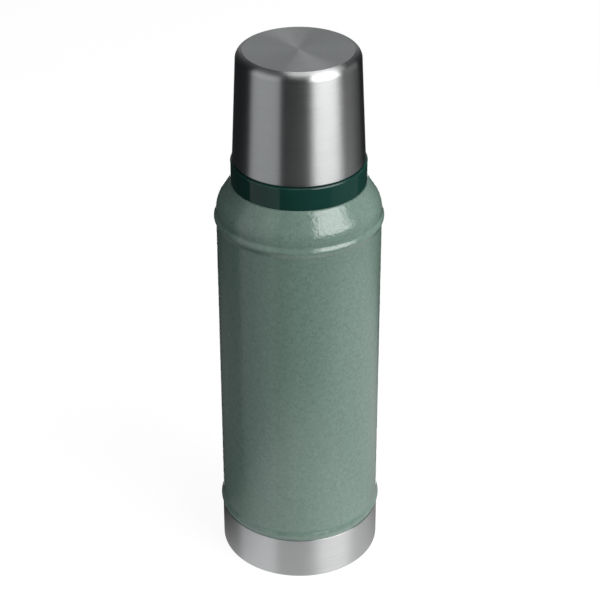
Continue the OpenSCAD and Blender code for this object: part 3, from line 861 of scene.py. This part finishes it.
def buildLights():
    for name, panel in panels.items():
        softbox(name, *panel)
    lamp = areaLamp("topPanel", topPanel["width"], topPanel["depth"], topPanel["radiance"], (1, 1, 1))
    lamp.location = topPanel["spot"]


def floorGlow(tree, centre, squeeze, inner, outer, strength):
    # a soft round patch of light on the floor
    moved = add(tree, "ShaderNodeMapping")
    moved.inputs["Location"].default_value = (-centre[0], -centre[1] * squeeze, 0)
    moved.inputs["Scale"].default_value = (1, squeeze, 1)
    tree.links.new(place(tree), moved.inputs["Vector"])
    distance = add(tree, "ShaderNodeVectorMath", operation="LENGTH")
    tree.links.new(moved.outputs[0], distance.inputs[0])
    return spread(tree, distance.outputs["Value"], strength, 0.0, inner, outer)


floors = dict(size=6.0, grey=0.16, glow=0.92, patchSize=1.2, patchDrop=0.0006)
glows = dict(front=((0.0, -0.11), 1.0, 0.07, 0.15, 0.7), right=((0.22, -0.03), 0.8, 0.12, 0.22, 0.56),
             back=((-0.22, 0.10), 1.0, 0.06, 0.18, 0.1))


def plate(name, size, height, material):
    mesh = bpy.data.meshes.new(name)
    h = size / 2
    mesh.from_pydata([(-h, -h, 0), (h, -h, 0), (h, h, 0), (-h, h, 0)], [], [(0, 1, 2, 3)])
    mesh.materials.append(material)
    flat = bpy.data.objects.new(name, mesh)
    flat.location = (0, 0, height)
    bpy.context.scene.collection.objects.link(flat)
    return flat


def buildFloor():
    # the wide floor is only looked at
    material, tree, shader = newMaterial("floor")
    shader.inputs["Roughness"].default_value = 1.0
    shader.inputs["Specular IOR Level"].default_value = 0.0
    shader.inputs["Emission Color"].default_value = (1, 1, 1, 1)
    shader.inputs["Base Color"].default_value = (floors["grey"], floors["grey"], floors["grey"], 1)
    shader.inputs["Emission Strength"].default_value = floors["glow"]
    floor = plate("floor", floors["size"], 0.0, material)
    floor.visible_glossy = floor.visible_diffuse = floor.visible_shadow = False


def buildFloorPatch():
    # unseen by the camera: the glows round the foot are what the metal and enamel reflect
    material, tree, _ = newMaterial("floorPatch")
    total = None
    for glow in glows.values():
        value = floorGlow(tree, *glow)
        if total is None:
            total = value
            continue
        both = add(tree, "ShaderNodeMath", operation="ADD")
        tree.links.new(total, both.inputs[0])
        tree.links.new(value, both.inputs[1])
        total = both.outputs[0]
    light = add(tree, "ShaderNodeEmission")
    tree.links.new(total, light.inputs["Strength"])
    through = add(tree, "ShaderNodeBsdfTransparent")
    mixed = add(tree, "ShaderNodeAddShader")
    tree.links.new(light.outputs[0], mixed.inputs[0])
    tree.links.new(through.outputs[0], mixed.inputs[1])
    tree.links.new(mixed.outputs[0], tree.nodes["Material Output"].inputs["Surface"])
    patch = plate("floorPatch", floors["patchSize"], -floors["patchDrop"], material)
    patch.visible_camera = patch.visible_shadow = False


dimRoom = dict(tint=(0.9, 0.95, 1.0), strength=0.02)


def buildWorld():
    world = bpy.data.worlds.new("studio")
    bpy.context.scene.world = world
    world.use_nodes = True
    background = world.node_tree.nodes["Background"]
    background.inputs["Color"].default_value = (*dimRoom["tint"], 1)
    background.inputs["Strength"].default_value = dimRoom["strength"]


buildCamera()
buildFloor()
buildFloorPatch()
buildWorld()
buildLights()
bpy.context.scene.view_settings.view_transform = "Standard"
print("studio done")

slotOf = {s["node"]: s["material_slot"] for s in frame["record"]["subparts"]}
for name, node in frame["nodes"].items():
    node.data.materials.clear()
    node.data.materials.append(finish[slotOf[name]])
